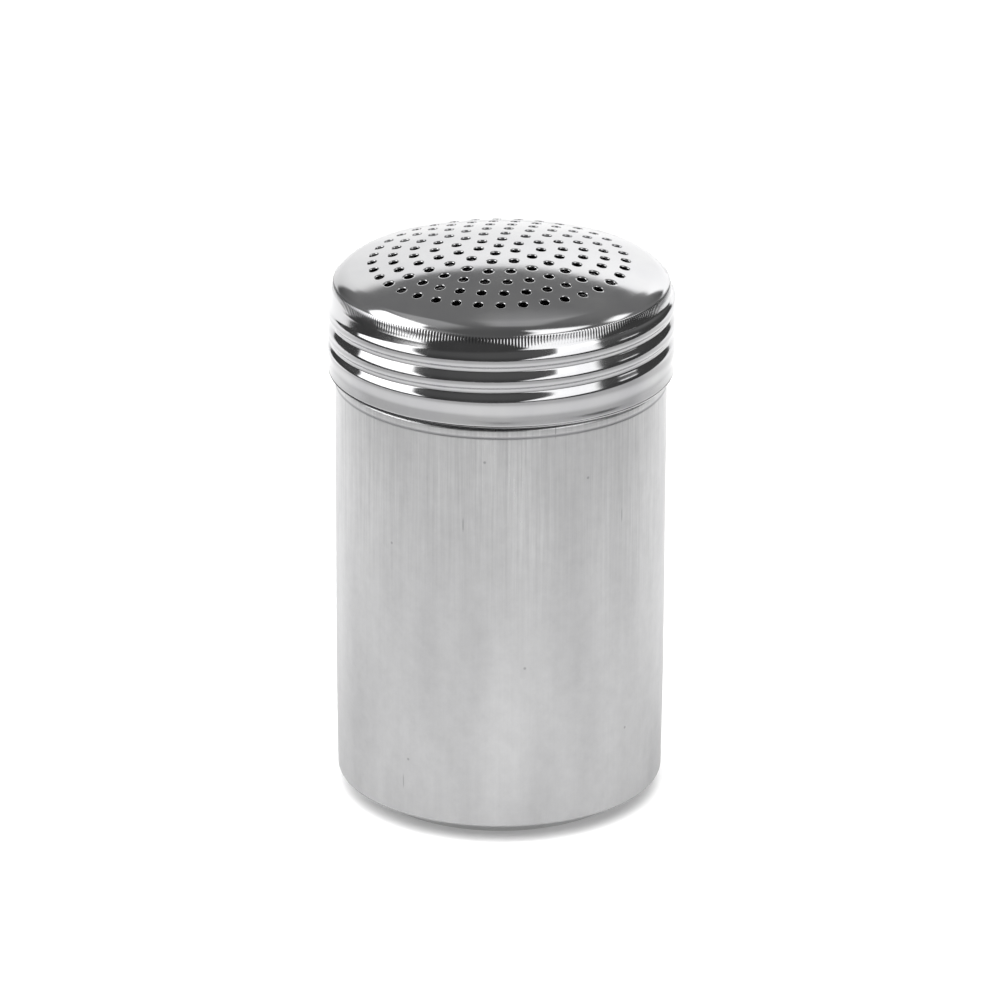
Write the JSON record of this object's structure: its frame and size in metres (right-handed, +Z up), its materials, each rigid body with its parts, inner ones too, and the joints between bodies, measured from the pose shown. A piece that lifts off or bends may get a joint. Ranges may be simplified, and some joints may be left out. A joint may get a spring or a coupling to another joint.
{
  "type": "screw-top shaker",
  "caption": "Round stainless steel shaker: a deep-drawn cup with a rolled screw neck, closed by a one-piece domed lid pierced with rings of small round holes.",
  "frame": {"origin": "middle of the base, on the surface that the shaker stands on", "axes": "+Z up along the axis of the cup and the lid, -Y the front, +X to the right seen from the front"},
  "size_m": [0.0714, 0.0714, 0.1183],
  "materials": {
    "satin_steel": "satin, faint upright drawing streaks",
    "polished_steel": "mirror polished"
  },
  "bodies": {
    "cup": {"canister": "satin_steel"},
    "cap": {"lid": "polished_steel"}
  },
  "joints": [
    {"name": "lid_lift", "type": "slide", "parent": "cup", "child": "cap", "axis": [0, 0, 1], "range_m": [0, 0.022]}
  ]
}
